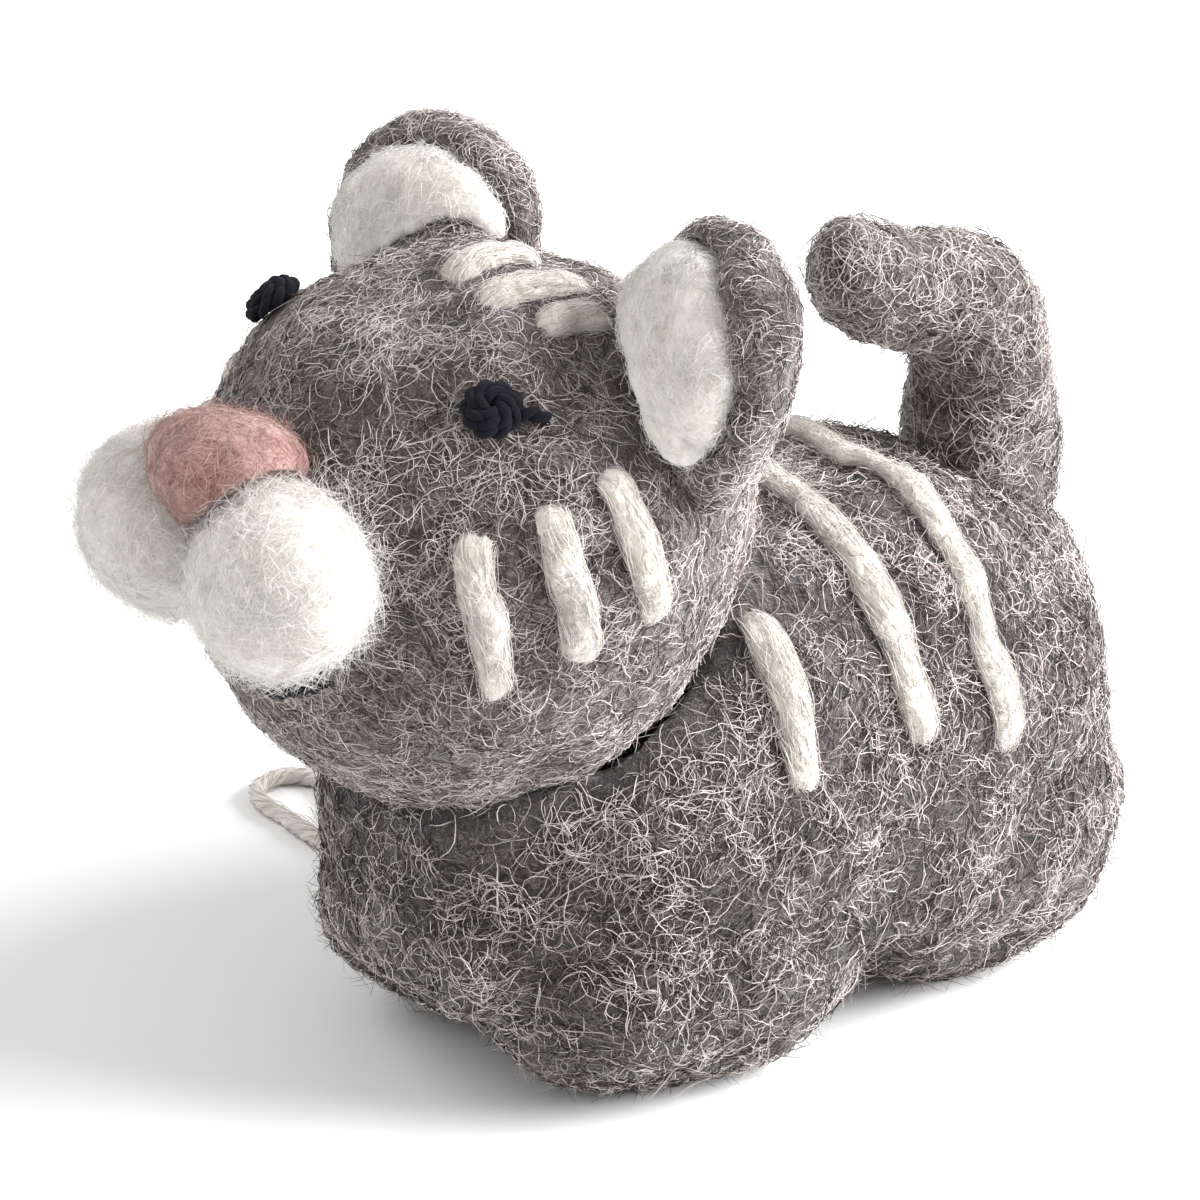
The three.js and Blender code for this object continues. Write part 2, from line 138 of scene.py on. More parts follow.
def tubes(name, paths, ups, radii, sides, shades=None, flat=1.0):
    """Thin tubes as one mesh. paths and ups are (tube, point, xyz), radii (tube, point), shades (tube)."""
    count, points = paths.shape[:2]
    along = unit(np.gradient(paths, axis=1))
    across = unit(np.cross(along, ups))
    above = np.cross(across, along)
    angles = (2 * math.pi * np.arange(sides) / sides)[None, None, :] + np.zeros((count, points, 1))
    ring = (
        np.cos(angles)[..., None] * across[:, :, None, :]
        + np.sin(angles)[..., None] * above[:, :, None, :] * flat
    )
    vertices = (paths[:, :, None, :] + radii[:, :, None, None] * ring).reshape(-1, 3)
    index = np.arange(count * points * sides).reshape(count, points, sides)
    near, far = index[:, :-1], index[:, 1:]
    quads = np.stack([near, far, np.roll(far, -1, axis=2), np.roll(near, -1, axis=2)], axis=-1)
    each = None if shades is None else np.repeat(shades, (points - 1) * sides)
    return mesh_of(name, vertices, quads.reshape(-1, 4), each)


def step_of(line):
    """The mean distance between a line's points."""
    return np.linalg.norm(np.diff(line, axis=0), axis=1).mean()


def resample(line, step):
    """Points a step apart along a line of points."""
    lengths = np.linalg.norm(np.diff(line, axis=0), axis=1)
    travelled = np.concatenate([[0], np.cumsum(lengths)])
    places = np.linspace(0, travelled[-1], max(3, int(round(travelled[-1] / step)) + 1))
    return np.stack([np.interp(places, travelled, line[:, k]) for k in range(3)], axis=1)


def smooth_line(points, step):
    """A smooth curve through the points, with its own points a step apart."""
    ends = np.array([2 * points[0] - points[1], *points, 2 * points[-1] - points[-2]])
    knots = np.concatenate([[0], np.cumsum(np.sqrt(np.linalg.norm(np.diff(ends, axis=0), axis=1)))])
    found = []
    for i in range(1, len(ends) - 2):
        t0, t1, t2, t3 = knots[i - 1:i + 3]
        t = np.linspace(t1, t2, 12, endpoint=False)[:, None]
        p0, p1, p2, p3 = ends[i - 1:i + 3]
        a1 = (t1 - t) / (t1 - t0) * p0 + (t - t0) / (t1 - t0) * p1
        a2 = (t2 - t) / (t2 - t1) * p1 + (t - t1) / (t2 - t1) * p2
        a3 = (t3 - t) / (t3 - t2) * p2 + (t - t2) / (t3 - t2) * p3
        b1 = (t2 - t) / (t2 - t0) * a1 + (t - t0) / (t2 - t0) * a2
        b2 = (t3 - t) / (t3 - t1) * a2 + (t - t1) / (t3 - t1) * a3
        found.append((t2 - t) / (t2 - t1) * b1 + (t - t1) / (t2 - t1) * b2)
    return resample(np.concatenate([*found, points[-1:]]), step)


def carried_frame(line, first):
    """A direction square to the line at each point, carried along it without twisting."""
    along = unit(np.gradient(line, axis=0))
    found = [unit(first - dot(first, along[0]) * along[0])]
    for here in along[1:]:
        found.append(unit(found[-1] - dot(found[-1], here) * here))
    return along, np.array(found)


# ---------- materials ----------

def tree_of(name):
    made = bpy.data.materials.new(name)
    made.use_nodes = True
    return made, made.node_tree, made.node_tree.nodes["Principled BSDF"]


def wool_fibre(name, colour, sheen=0.25):
    """One wool fibre, too thin to show anything along it but its own shade."""
    made, _, shader = tree_of(name)
    shader.inputs["Base Color"].default_value = (*colour, 1)
    shader.inputs["Roughness"].default_value = 0.75
    shader.inputs["Specular IOR Level"].default_value = 0.25
    shader.inputs["Sheen Weight"].default_value = sheen
    shader.inputs["Sheen Roughness"].default_value = 0.5
    return made


def noise_node(tree, size, detail, distortion=0.0):
    """Noise with features about size across."""
    place = tree.nodes.new("ShaderNodeTexCoord")
    noise = tree.nodes.new("ShaderNodeTexNoise")
    noise.inputs["Scale"].default_value = 1 / size
    noise.inputs["Detail"].default_value = detail
    noise.inputs["Distortion"].default_value = distortion
    tree.links.new(place.outputs["Object"], noise.inputs["Vector"])
    return noise.outputs["Fac"]


def ramp_node(tree, value, stops):
    """The colour for a value, between stops of (value, colour)."""
    ramp = tree.nodes.new("ShaderNodeValToRGB")
    while len(ramp.color_ramp.elements) < len(stops):
        ramp.color_ramp.elements.new(0.5)
    for element, (place, colour) in zip(ramp.color_ramp.elements, stops):
        element.position = place
        element.color = (*colour, 1)
    tree.links.new(value, ramp.inputs["Fac"])
    return ramp.outputs["Color"]


def multiply_node(tree, first, second):
    mix = tree.nodes.new("ShaderNodeMix")
    mix.data_type = "RGBA"
    mix.blend_type = "MULTIPLY"
    mix.inputs["Factor"].default_value = 1.0
    tree.links.new(first, mix.inputs["A"])
    tree.links.new(second, mix.inputs["B"])
    return mix.outputs["Result"]


SHADE_PATCH_SIZE = 3.5 * MM


def felt_ground(name, stops, patch_stops, tangle_size, bump_depth, sheen, depth=0.0):
    """Matted wool: a fine tangle of shades, paler and darker patches, and a tangled surface.

    depth is how far light passes through it, and 0 for wool that none passes through."""
    made, tree, shader = tree_of(name)
    tangle = noise_node(tree, tangle_size, detail=6, distortion=2.2)
    patches = noise_node(tree, SHADE_PATCH_SIZE, detail=2)
    colour = multiply_node(tree, ramp_node(tree, tangle, stops), ramp_node(tree, patches, patch_stops))
    tree.links.new(colour, shader.inputs["Base Color"])
    shader.inputs["Roughness"].default_value = 0.9
    shader.inputs["Specular IOR Level"].default_value = 0.2
    shader.inputs["Sheen Weight"].default_value = sheen
    shader.inputs["Sheen Roughness"].default_value = 0.6
    shader.inputs["Subsurface Weight"].default_value = 0.8 if depth else 0.0
    shader.inputs["Subsurface Radius"].default_value = (1.0, 0.95, 0.9)
    shader.inputs["Subsurface Scale"].default_value = depth
    bump = tree.nodes.new("ShaderNodeBump")
    bump.inputs["Strength"].default_value = 0.9
    bump.inputs["Distance"].default_value = bump_depth
    tree.links.new(tangle, bump.inputs["Height"])
    tree.links.new(bump.outputs["Normal"], shader.inputs["Normal"])
    return made


grey_ground = felt_ground(
    "grey_felt",
    [(0.4, (0.014, 0.010, 0.010)), (0.54, (0.050, 0.038, 0.037)), (0.7, (0.24, 0.20, 0.19))],
    [(0.38, (0.38, 0.34, 0.34)), (0.6, (0.95, 0.95, 0.95))],
    0.4 * MM, 0.25 * MM, sheen=0.5,
)
light_grey_ground = felt_ground(
    "light_grey_felt",
    [(0.38, (0.022, 0.016, 0.015)), (0.53, (0.095, 0.073, 0.067)), (0.7, (0.32, 0.27, 0.25))],
    [(0.38, (0.48, 0.43, 0.42)), (0.6, (1.0, 0.98, 0.97))],
    0.4 * MM, 0.25 * MM, sheen=0.5,
)
white_ground = felt_ground(
    "white_felt",
    [(0.3, (0.80, 0.765, 0.72)), (0.6, (0.87, 0.84, 0.80))],
    [(0.35, (0.98, 0.965, 0.945)), (0.65, (1.0, 1.0, 1.0))],
    0.4 * MM, 0.06 * MM, sheen=0.5, depth=1.2 * MM,
)
pink_ground = felt_ground(
    "pink_felt",
    [(0.34, (0.30, 0.15, 0.13)), (0.5, (0.41, 0.235, 0.21)), (0.66, (0.50, 0.345, 0.315))],
    [(0.4, (0.72, 0.56, 0.54)), (0.62, (1.0, 1.0, 1.0))],
    0.6 * MM, 0.04 * MM, sheen=0.5, depth=0.8 * MM,
)
yarn_ground = felt_ground(
    "cream_yarn",
    [(0.3, (0.60, 0.555, 0.51)), (0.6, (0.73, 0.69, 0.645))],
    [(0.35, (0.95, 0.93, 0.90)), (0.65, (1.0, 1.0, 1.0))],
    0.4 * MM, 0.05 * MM, sheen=0.4,
)
thread_ground = felt_ground(
    "navy_thread",
    [(0.35, (0.002, 0.002, 0.004)), (0.65, (0.007, 0.008, 0.016))],
    [(0.35, (0.8, 0.8, 0.85)), (0.65, (1.0, 1.0, 1.0))],
    0.15 * MM, 0.05 * MM, sheen=0.03,
)
grey_fibres = [
    wool_fibre("grey_wool_pale", (0.68, 0.61, 0.59), sheen=0.4),
    wool_fibre("grey_wool_light", (0.36, 0.31, 0.30), sheen=0.4),
    wool_fibre("grey_wool_middle", (0.14, 0.112, 0.109)),
    wool_fibre("grey_wool_dark", (0.022, 0.015, 0.016), sheen=0.1),
    wool_fibre("grey_wool_brown", (0.13, 0.086, 0.068)),
]
grey_shares = [0.25, 0.19, 0.15, 0.33, 0.08]
light_grey_shares = [0.32, 0.27, 0.14, 0.18, 0.09]
bright_and_soft = [0.6, 0.4]  # shares of the two white or cream fibres
white_fibres = [
    wool_fibre("white_wool_bright", (0.90, 0.875, 0.84), sheen=0.5),
    wool_fibre("white_wool_soft", (0.80, 0.77, 0.73), sheen=0.5),
]
pink_fibres = [
    wool_fibre("pink_wool_pale", (0.49, 0.33, 0.30)),
    wool_fibre("pink_wool_deep", (0.36, 0.19, 0.165)),
]
faint_pink_fibres = [wool_fibre("pink_wool_faint", (0.70, 0.56, 0.53), sheen=0.5)]
cream_fibres = [
    wool_fibre("cream_wool_bright", (0.76, 0.72, 0.68)),
    wool_fibre("cream_wool_soft", (0.64, 0.595, 0.55)),
]


# ---------- felt grounds over the frame's solids ----------

VOXEL = 0.5 * MM
FINE_VOXEL = 0.4 * MM
WELD = 0.001 * MM  # corners closer than this are the same corner
LUMP_SIZE = 4.5 * MM
GRAIN_SIZE = 1.3 * MM
REST_HEIGHT = 0.05 * MM  # of pressed felt above the table


def copied_solids(nodes, swell):
    """The named CAD solids as one mesh, each swollen along its own normals."""
    vertices, faces = [], []
    for node in nodes:
        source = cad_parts[node].data
        places = np.round(vertex_array(source) / WELD).astype(np.int64)
        unique, inverse = np.unique(places, axis=0, return_inverse=True)
        inverse = inverse.ravel()
        source.calc_loop_triangles()
        triangles = np.empty(len(source.loop_triangles) * 3, np.int32)
        source.loop_triangles.foreach_get("vertices", triangles)
        triangles = inverse[triangles].reshape(-1, 3)
        points = unique * WELD
        corners = points[triangles]
        face_normals = np.cross(corners[:, 1] - corners[:, 0], corners[:, 2] - corners[:, 0])
        normals = np.zeros_like(points)
        for k in range(3):
            np.add.at(normals, triangles[:, k], face_normals)
        faces.append(triangles + sum(len(v) for v in vertices))
        vertices.append(points + unit(normals) * swell)
    mesh = bpy.data.meshes.new("solids")
    mesh.from_pydata(np.concatenate(vertices).tolist(), [], np.concatenate(faces).tolist())
    return mesh


def felt_skin(
    name, nodes, material, swell, rounds, lump, seed, grain=0.07 * MM, voxel=VOXEL, squeeze=None,
):
    """A lumpy matted surface over CAD solids, melted into one, smoothed, and pressed flat where it rests."""
    rough = new_object(name + "_rough", copied_solids(nodes, swell))
    melt = rough.modifiers.new("melt", "REMESH")
    melt.mode = "VOXEL"
    melt.voxel_size = voxel
    soften = rough.modifiers.new("soften", "SMOOTH")
    soften.factor = 0.5
    soften.iterations = rounds
    view = bpy.context.evaluated_depsgraph_get()
    mesh = bpy.data.meshes.new_from_object(rough.evaluated_get(view))
    mesh.name = name
    bpy.data.objects.remove(rough)
    places, normals = vertex_array(mesh), vertex_array(mesh, "normal")
    rise = lump * smooth_noise(places, LUMP_SIZE, seed) + grain * smooth_noise(places, GRAIN_SIZE, seed + 1)
    places += normals * rise[:, None]
    if squeeze is not None:
        places = squeeze(places)
    places[:, 2] = np.maximum(places[:, 2], REST_HEIGHT)
    mesh.vertices.foreach_set("co", places.astype(np.float32).ravel())
    mesh.polygons.foreach_set("use_smooth", np.ones(len(mesh.polygons), bool))
    mesh.materials.clear()
    mesh.materials.append(material)
    mesh.update()
    return new_object(name, mesh)


class Surface:
    """Finds places on a felt ground."""

    def __init__(self, *things):
        vertices, faces = [], []
        for thing in things:
            mesh = thing.data
            mesh.calc_loop_triangles()
            triangles = np.empty(len(mesh.loop_triangles) * 3, np.int32)
            mesh.loop_triangles.foreach_get("vertices", triangles)
            faces.append(triangles.reshape(-1, 3) + sum(len(v) for v in vertices))
            vertices.append(vertex_array(mesh))
        self.vertices, self.faces = np.concatenate(vertices), np.concatenate(faces)
        self.tree = BVHTree.FromPolygons(self.vertices.tolist(), self.faces.tolist())
        corners = self.vertices[self.faces]
        crossed = np.cross(corners[:, 1] - corners[:, 0], corners[:, 2] - corners[:, 0])
        self.areas = np.linalg.norm(crossed, axis=1) / 2
        self.normals = unit(crossed)

    def scatter(self, per_mm2, random, keep=None):
        """Random places on the surface, with their normals."""
        count = int(per_mm2 * self.areas.sum() / MM ** 2)
        chosen = random.choice(len(self.faces), count, p=self.areas / self.areas.sum())
        a, b = random.random((2, count, 1))
        a, b = np.where(a + b > 1, 1 - a, a), np.where(a + b > 1, 1 - b, b)
        corner = self.vertices[self.faces[chosen]]
        places = corner[:, 0] + a * (corner[:, 1] - corner[:, 0]) + b * (corner[:, 2] - corner[:, 0])
        normals = self.normals[chosen]
        good = (places[:, 2] > 0.5 * MM) | (normals[:, 2] > -0.3)
        if keep is not None:
            good &= keep(places)
        return places[good], normals[good]

    def above(self, places, height):
        """Whether each place stands more than a height clear of the surface."""
        here, normals = self.nearest(places)
        return dot(places - here, normals)[:, 0] > height

    def nearest(self, places):
        """The nearest place on the surface to each point, and the normal there."""
        found, normals = np.empty_like(places), np.empty_like(places)
        for i, place in enumerate(places):
            here, normal, _, _ = self.tree.find_nearest(place)
            found[i], normals[i] = here, normal
        return found, normals


# ---------- curly fibres ----------

def wander(surface, places, ups, lengths, steps, bend, random):
    """Curved paths over a surface from the given places, as (fibre, point, xyz), with their normals."""
    count = len(places)
    heading = random.normal(size=(count, 3))
    heading = unit(heading - dot(heading, ups) * ups)
    step = (lengths / (steps - 1))[:, None]
    steady = random.normal(0, bend, (count, 1))
    crimp = random.uniform(0.4, 1.6, (count, 1)) * bend
    crimp_length = random.uniform(1.1, 3.0, (count, 1)) * MM
    phase = random.uniform(0, 2 * math.pi, (count, 1))
    paths, normals = np.empty((count, steps, 3)), np.empty((count, steps, 3))
    for k in range(steps):
        paths[:, k], normals[:, k] = places, ups
        turn = (steady + crimp * np.sin(phase + 2 * math.pi * k * step / crimp_length)) * step
        heading = heading * np.cos(turn) + np.cross(ups, heading) * np.sin(turn)
        places, ups = surface.nearest(places + heading * step)
        heading = unit(heading - dot(heading, ups) * ups)
    return paths, normals


FIBRE_SIDES = 3
FIBRE_DIP = 0.06 * MM  # of a fibre's ends into the felt
FIBRE_LOWEST = 0.08 * MM  # above the table
GROWTH_PATCH_SIZE = 2.2 * MM
LOOSE_THICKNESS = 0.7  # of a loose fibre, as a share of a lying one


def fibres(
    name, surface, materials, shares, per_mm2, length, radius, rise, loose, loose_rise, bend, seed,
    steps=9, keep=None, patchy=0.55,
):
    """Curly fibres that lie on a surface, dive into it at both ends and stand a little proud between.

    loose is the share of them that stand free at one end, and bend is how curly they are, in radians a
    metre. patchy is how much denser and paler they are in some places than in others."""
    random = np.random.default_rng(seed)
    places, ups = surface.scatter(per_mm2, random, keep)
    patch = patchy * smooth_noise(places, GROWTH_PATCH_SIZE, seed + 5)
    dense = random.random(len(places)) < 0.85 + 0.5 * patch
    places, ups, patch = places[dense], ups[dense], patch[dense]
    count = len(places)
    lengths = length * np.clip(random.lognormal(0, 0.35, count), 0.45, 2.2)
    paths, normals = wander(surface, places, ups, lengths, steps, bend, random)
    share = np.linspace(0, 1, steps)[None, :]
    heights = rise * random.uniform(0.1, 1.3, (count, 1)) * np.sin(math.pi * share) ** 0.7 - FIBRE_DIP
    ripples = random.uniform(1, 2.6, (count, 1)) * share + random.random((count, 1))
    heights += 0.35 * rise * np.sin(2 * math.pi * ripples)
    free = random.random(count) < loose
    lift = random.uniform(0.35, 1.0, (count, 1)) * loose_rise
    heights[free] = (lift * np.maximum(share - 0.25, 0) ** 1.4 * 1.5)[free]
    paths = paths + normals * heights[:, :, None]
    paths[:, :, 2] = np.maximum(paths[:, :, 2], FIBRE_LOWEST)
    radii = radius * random.uniform(0.65, 1.3, (count, 1)) * (1 - np.abs(2 * share - 1) ** 4 * 0.8)
    radii[free] *= LOOSE_THICKNESS
    rank = np.clip(random.random(count) - 0.4 * patch, 0, 0.999)
    shades = np.searchsorted(np.cumsum(shares) / np.sum(shares), rank)
    mesh = tubes(name, paths, normals, radii, FIBRE_SIDES, np.minimum(shades, len(materials) - 1))
    for material in materials:
        mesh.materials.append(material)
    return new_object(name, mesh)


# ---------- yarn and thread ----------

def ring_centres(node, sides, along):
    """The middle line of a CAD strand, from the rings of corners that its section leaves along it."""
    places = np.unique(np.round(vertex_array(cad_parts[node].data), 7), axis=0)
    order = np.argsort(along(places))
    rings = places[order][: len(places) // sides * sides].reshape(-1, sides, 3)
    return rings.mean(axis=1)


def strand_fibres(
    name, line, ups, radius, flat, materials, count, length, thickness, twist, seed, stray=0.12,
):
    """Fine fibres that run along a soft strand, each a part of its length, with a few strays.

    twist is how far they wind round it, in radians a metre, and stray is how far the strays stand out."""
    random = np.random.default_rng(seed)
    along = unit(np.gradient(line, axis=0))
    across = unit(np.cross(along, ups))
    above = np.cross(across, along)
    spacing = step_of(line)
    steps = 14
    reach = np.clip(length * random.uniform(0.5, 1.3, count) / spacing, 4, len(line) - 1)
    start = random.uniform(-0.25 * reach, len(line) - 1 - 0.75 * reach)
    at = np.clip(start[:, None] + reach[:, None] * np.linspace(0, 1, steps)[None, :], 0, len(line) - 1.001)
    low = at.astype(int)
    part = (at - low)[..., None]
    angle = random.uniform(0, 2 * math.pi, (count, 1)) + twist * at * spacing
    angle = angle + 0.35 * np.sin(at * spacing / (1.3 * MM) + random.uniform(0, 6.3, (count, 1)))
    bow = np.sin(math.pi * np.linspace(0, 1, steps)[None, :])
    out = 1.0 + 0.07 * random.normal(size=(count, 1))
    out = out + stray * np.maximum(random.normal(size=(count, 1)), 0) * bow

    def between(values):
        return values[low] * (1 - part) + values[np.minimum(low + 1, len(line) - 1)] * part

    radius_there = between(radius[:, None])[..., 0]
    outward = np.cos(angle)[..., None] * between(across) + flat * np.sin(angle)[..., None] * between(above)
    paths = between(line) + outward * (radius_there * out)[..., None]
    paths[..., 2] = np.maximum(paths[..., 2], thickness)
    share = np.linspace(0, 1, steps)[None, :]
    radii = thickness * random.uniform(0.7, 1.2, (count, 1)) * (1 - np.abs(2 * share - 1) ** 4 * 0.8)
    shades = random.integers(0, len(materials), count)
    mesh = tubes(name, paths, unit(outward), radii, FIBRE_SIDES, shades)
    for material in materials:
        mesh.materials.append(material)
    return new_object(name, mesh)


STRAND_STEP_MM = 0.3
STRAND_ROUTE_STEP = 0.35 * MM
STRAND_FLATNESS = 0.6  # of a strand's thickness, as a share of its width
STRAND_SIDES = 20
STRAND_FIBRES_PER_MM = 18
STRAND_CORE = 0.94  # of the strand's thickness, inside its fibres
STRAND_ENDS_MM = [(0.45, 0.75), (0.6, 1.7)]  # how far onward, and how far down into the felt


def soft_strand(name, line, surface, thickness, seed, proud=0.2 * MM, longer=0.0):
    """A soft-spun strand laid on felt, with both ends drawn down into it, its fibres, and its fluff.

    proud is how far its middle line stands off the felt, and longer is how far its first end is drawn out."""
    random = np.random.default_rng(seed)
    line = smooth_line(line, STRAND_ROUTE_STEP)
    if longer:
        line = np.concatenate([line[:1] + unit(line[0] - line[4]) * longer, line])
        line = resample(line, STRAND_ROUTE_STEP)
    ground, ups = surface.nearest(line)
    line = ground + ups * proud
    first, last = [], []
    for ends, end, inner in ((first, 0, 1), (last, -1, -2)):
        away = unit(line[end] - line[inner])
        for onward, down in STRAND_ENDS_MM:
            ends.append(line[end] + away * onward * MM - ups[end] * down * MM)
    route = np.array([*reversed(first), *line[1:-1:4], *last])
    line = smooth_line(route, STRAND_STEP_MM * MM)
    _, ups = surface.nearest(line)
    share = np.linspace(0, 1, len(line))
    travelled = share * STRAND_STEP_MM * MM * len(line)
    width = 1 + 0.07 * np.sin(travelled / (1.9 * MM) + random.uniform(0, 6)) + 0.05 * np.sin(
        travelled / (0.9 * MM) + random.uniform(0, 6)
    )
    width *= np.clip(np.minimum(travelled, travelled[-1] - travelled) / (0.8 * MM), 0.15, 1) ** 0.5
    radius = thickness / 2 * width
    core = radius[None] * STRAND_CORE
    mesh = tubes(name, line[None], ups[None], core, STRAND_SIDES, flat=STRAND_FLATNESS)
    places, normals = vertex_array(mesh), vertex_array(mesh, "normal")
    lumps = 0.045 * MM * smooth_noise(places, 0.45 * MM, seed)
    lumps += 0.06 * MM * smooth_noise(places, 1.6 * MM, seed + 3)
    places += normals * lumps[:, None]
    mesh.vertices.foreach_set("co", places.astype(np.float32).ravel())
    mesh.materials.append(yarn_ground)
    strand = new_object(name, mesh)
    hairs = strand_fibres(
        name + "_fibres", line, ups, radius, STRAND_FLATNESS, cream_fibres,
        count=int(STRAND_FIBRES_PER_MM * len(line) * STRAND_STEP_MM), length=5 * MM,
        thickness=0.026 * MM, twist=90, seed=seed + 7,
    )
    fluff = fibres(
        name + "_fluff", Surface(strand), cream_fibres, bright_and_soft, per_mm2=14, length=1.7 * MM,
        radius=0.019 * MM, rise=0.2 * MM, loose=0.45, loose_rise=0.6 * MM, bend=500, steps=8,
        seed=seed + 9, patchy=0.0, keep=lambda places: surface.above(places, 0.1 * MM),
    )
    return strand, hairs, fluff


PLIES = 2
PLY_RADIUS = 0.62  # as a share of the whole yarn's
PLY_SPREAD = 1.15  # past the place where the plies just touch the yarn's outside
YARN_TAPER = 0.6 * MM


def plied_paths(line, ups, ply_offset, pitch):
    """The middle lines of plies that twist round a line."""
    along = unit(np.gradient(line, axis=0))
    across = unit(np.cross(along, ups))
    above = np.cross(across, along)
    turn = 2 * math.pi * np.arange(len(line)) * step_of(line) / pitch
    found = []
    for k in range(PLIES):
        angle = (turn + 2 * math.pi * k / PLIES)[:, None]
        found.append(line + ply_offset * (np.cos(angle) * across + np.sin(angle) * above))
    return np.array(found)


def plied_yarn(name, line, ups, thickness, pitch, material, sides=10):
    """A twisted yarn or thread, its plies as round tubes with narrowed ends."""
    ply_radius = thickness / 2 * PLY_RADIUS
    paths = plied_paths(line, ups, (thickness / 2 - ply_radius) * PLY_SPREAD, pitch)
    travelled = np.arange(len(line)) * step_of(line)
    ends = np.clip(np.minimum(travelled, travelled[-1] - travelled) / YARN_TAPER, 0.12, 1) ** 0.5
    radii = np.tile(ply_radius * ends, (PLIES, 1))
    mesh = tubes(name, paths, np.tile(ups, (PLIES, 1, 1)), radii, sides)
    mesh.materials.append(material)
    return new_object(name, mesh)


GROOVE_BOTTOM, LOBE_HEIGHT = 0.8, 0.24  # as shares of a lobed yarn's radius


def lobed_yarn(name, line, ups, thickness, plies, pitch, material):
    """A twisted yarn as one surface, with a groove between each two plies."""
    sides = 24
    mesh = tubes(name, line[None], ups[None], np.full((1, len(line)), thickness / 2), sides)
    centres = np.repeat(line, sides, axis=0)
    around = np.tile(2 * math.pi * np.arange(sides) / sides, len(line))
    twist = np.repeat(2 * math.pi * np.arange(len(line)) * step_of(line) / pitch, sides)
    lobes = GROOVE_BOTTOM + LOBE_HEIGHT * np.abs(np.cos(plies / 2 * (around - twist))) ** 0.7
    places = centres + (vertex_array(mesh) - centres) * lobes[:, None]
    mesh.vertices.foreach_set("co", places.astype(np.float32).ravel())
    mesh.update()
    mesh.materials.append(material)
    return new_object(name, mesh)


# ---------- the hanging loop, a free cord ----------

# The doubled yarn's route, as it is in the part: its middle line in millimetres from the body's place on
# the table, and half the distance between its two strands.
BODY_PLACE = 7.85  # millimetres behind the origin
LOOP_ROUTE = [
    (-2, -0.7, 34.8, 0.8),
    (-6.3, -0.7, 34, 0.8),
    (-10.5, -0.8, 31.9, 0.9),
    (-13.9, -1, 28.6, 1),
    (-16.3, -1.4, 24.2, 1.1),
    (-17.8, -2, 18.8, 1.2),
    (-18.5, -2.9, 13.6, 1.3),
    (-19.1, -4.4, 8.4, 1.4),
    (-20, -6, 4, 1.5),
    (-22.4, -7.3, 1.1, 1.6),
    (-26, -7.9, 0.56, 1.7),
    (-30, -7.5, 0.56, 2.1),
    (-32.8, -7, 0.56, 2.3),
    (-35.1, -6.7, 0.56, 2.5),
    (-37.1, -6.6, 0.56, 1.8),
]
LOOP_TIP_REACH = 0.8  # end of the loop beyond the last row
LOOP_STEP = 0.2 * MM
YARN_THICKNESS = 1.0 * MM


def loop_points():
    there = [(x, y - half, z) for x, y, z, half in LOOP_ROUTE]
    back = [(x, y + half, z) for x, y, z, half in reversed(LOOP_ROUTE)]
    x, y, z, _ = LOOP_ROUTE[-1]
    route = np.array([*there, (x - LOOP_TIP_REACH, y, z), *back])
    return (route + (0, BODY_PLACE, 0)) * MM


def make_loop():
    route = loop_points()
    line = smooth_line(route, LOOP_STEP)
    _, ups = carried_frame(line, np.array((0.0, 0.0, 1.0)))
    loop = lobed_yarn(
        "hanging_loop_yarn", line, ups, YARN_THICKNESS, plies=3, pitch=3.2 * MM, material=yarn_ground,
    )
    finish_piece(loop, "body", "cream_yarn", "hanging_loop")
    hairs = strand_fibres(
        "hanging_loop_fibres", line, ups, np.full(len(line), YARN_THICKNESS / 2), 1.0, cream_fibres,
        count=900, length=5 * MM, thickness=0.03 * MM, twist=900, seed=41, stray=0.3,
    )
    finish_piece(hairs, "body", "cream_yarn")


make_loop()


# ---------- felt pieces ----------

head_centre = centre_of("head")
head_radius = (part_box("head")[1].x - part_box("head")[0].x) / 2

EAR_PAD_CLEARANCE = 2.2 * MM  # from the head ball to the nearest fluff of an inner ear
NECK_SQUEEZE = 1.3 * MM
NECK_SQUEEZE_REACH = 6 * MM  # into the body's felt


def squeezed_at_neck(places):
    """Draws felt in towards the head's middle, low on each side of its back, where it sits on the body."""
    out = places - head_centre
    away = unit(out)
    sideways, backwards, downwards = np.abs(away[:, 0]), away[:, 1], -away[:, 2]
    toward = (0.55 * sideways + 0.45 * backwards + 0.70 * downwards)[:, None]
    share = np.clip((toward - 0.4) / 0.55, 0, 1)
    beyond = np.linalg.norm(out, axis=1, keepdims=True) - head_radius
    near = np.clip(1 - beyond / NECK_SQUEEZE_REACH, 0, 1)
    near = near * near * (3 - 2 * near)
    return places - away * NECK_SQUEEZE * near * share * share * (3 - 2 * share)


def outside_head(places, clearance=0.9 * MM):
    return np.linalg.norm(places - head_centre, axis=1) > head_radius + clearance


def make_body():
    nodes = ["body", "front_left_leg", "front_right_leg", "hind_left_leg", "hind_right_leg"]
    whole = felt_skin(
        "body_felt", nodes, grey_ground, swell=0.2 * MM, rounds=7, lump=0.3 * MM, seed=3,
        squeeze=squeezed_at_neck,
    )
    finish_piece(whole, "body", "grey_wool", *nodes)
    surface = Surface(whole)
    hair = fibres(
        "body_fibres", surface, grey_fibres, grey_shares, per_mm2=8, length=2.9 * MM, radius=0.031 * MM,
        rise=0.3 * MM, loose=0.14, loose_rise=1.4 * MM, bend=700, seed=11, keep=outside_head,
    )
    finish_piece(hair, "body", "grey_wool")
    return surface


